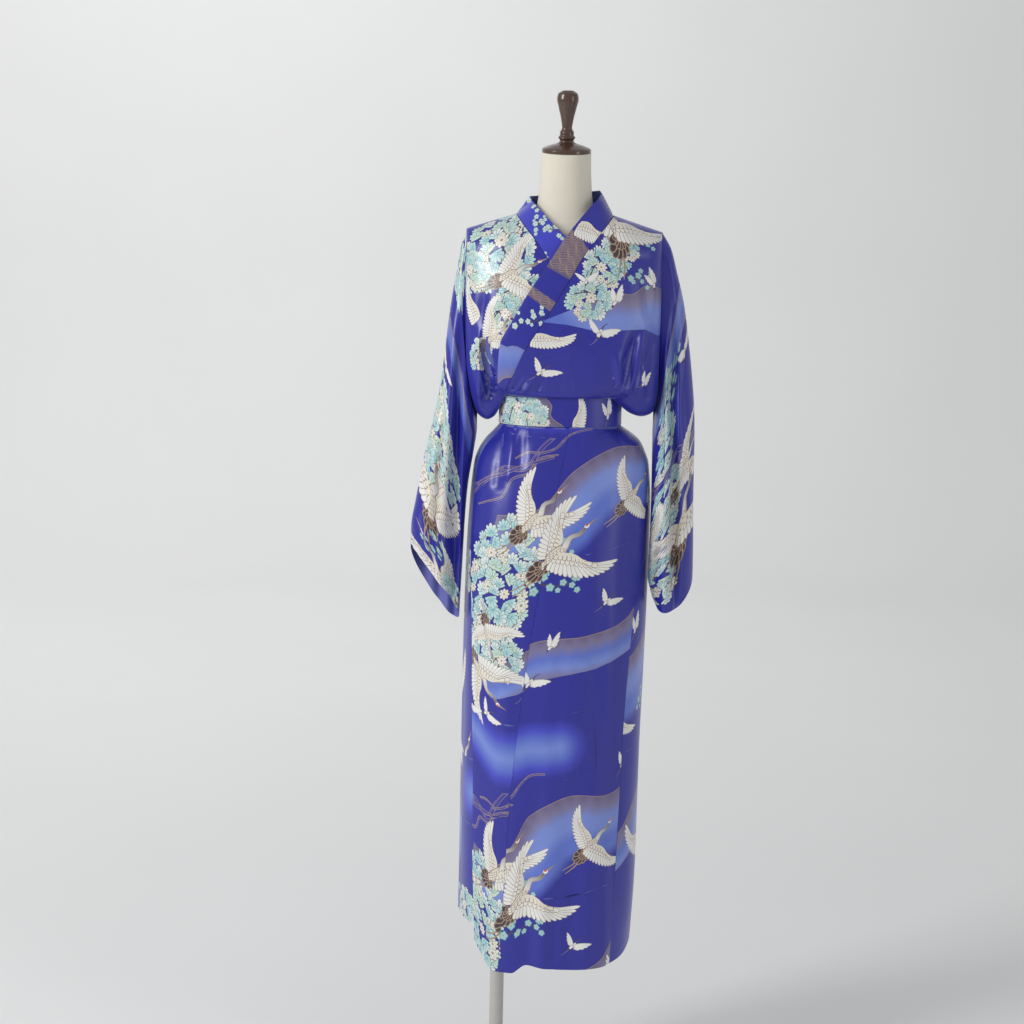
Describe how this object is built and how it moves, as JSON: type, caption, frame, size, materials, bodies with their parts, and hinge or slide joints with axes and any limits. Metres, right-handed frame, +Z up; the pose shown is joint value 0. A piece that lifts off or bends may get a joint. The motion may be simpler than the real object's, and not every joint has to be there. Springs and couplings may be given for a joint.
{
  "type": "kimono dress on a limbless dress form with a stand",
  "caption": "Long wrap kimono dress in printed satin, belted at the waist, on a limbless dress form with a wooden neck cap, a pole and a round base.",
  "frame": {"origin": "on the floor, at the middle of the base plate's underside", "axes": "+Z up, -Y the front of the dress, +X the picture's right"},
  "size_m": [0.5045, 0.36, 1.8025],
  "materials": {
    "satin": "satin",
    "form_cloth": "plain weave",
    "wood": "polished dark stain",
    "painted_steel": "satin paint"
  },
  "bodies": {
    "root": {"bodice_over": "satin", "bodice_under": "satin", "bodice_back": "satin", "collar": "satin", "sleeve_left": "satin", "sleeve_right": "satin", "skirt_over": "satin", "skirt_overlap": "satin", "skirt_under": "satin", "skirt_back": "satin", "belt": "satin", "form_torso": "form_cloth", "neck_cap": "wood", "pole": "painted_steel", "base_plate": "painted_steel"}
  },
  "joints": []
}
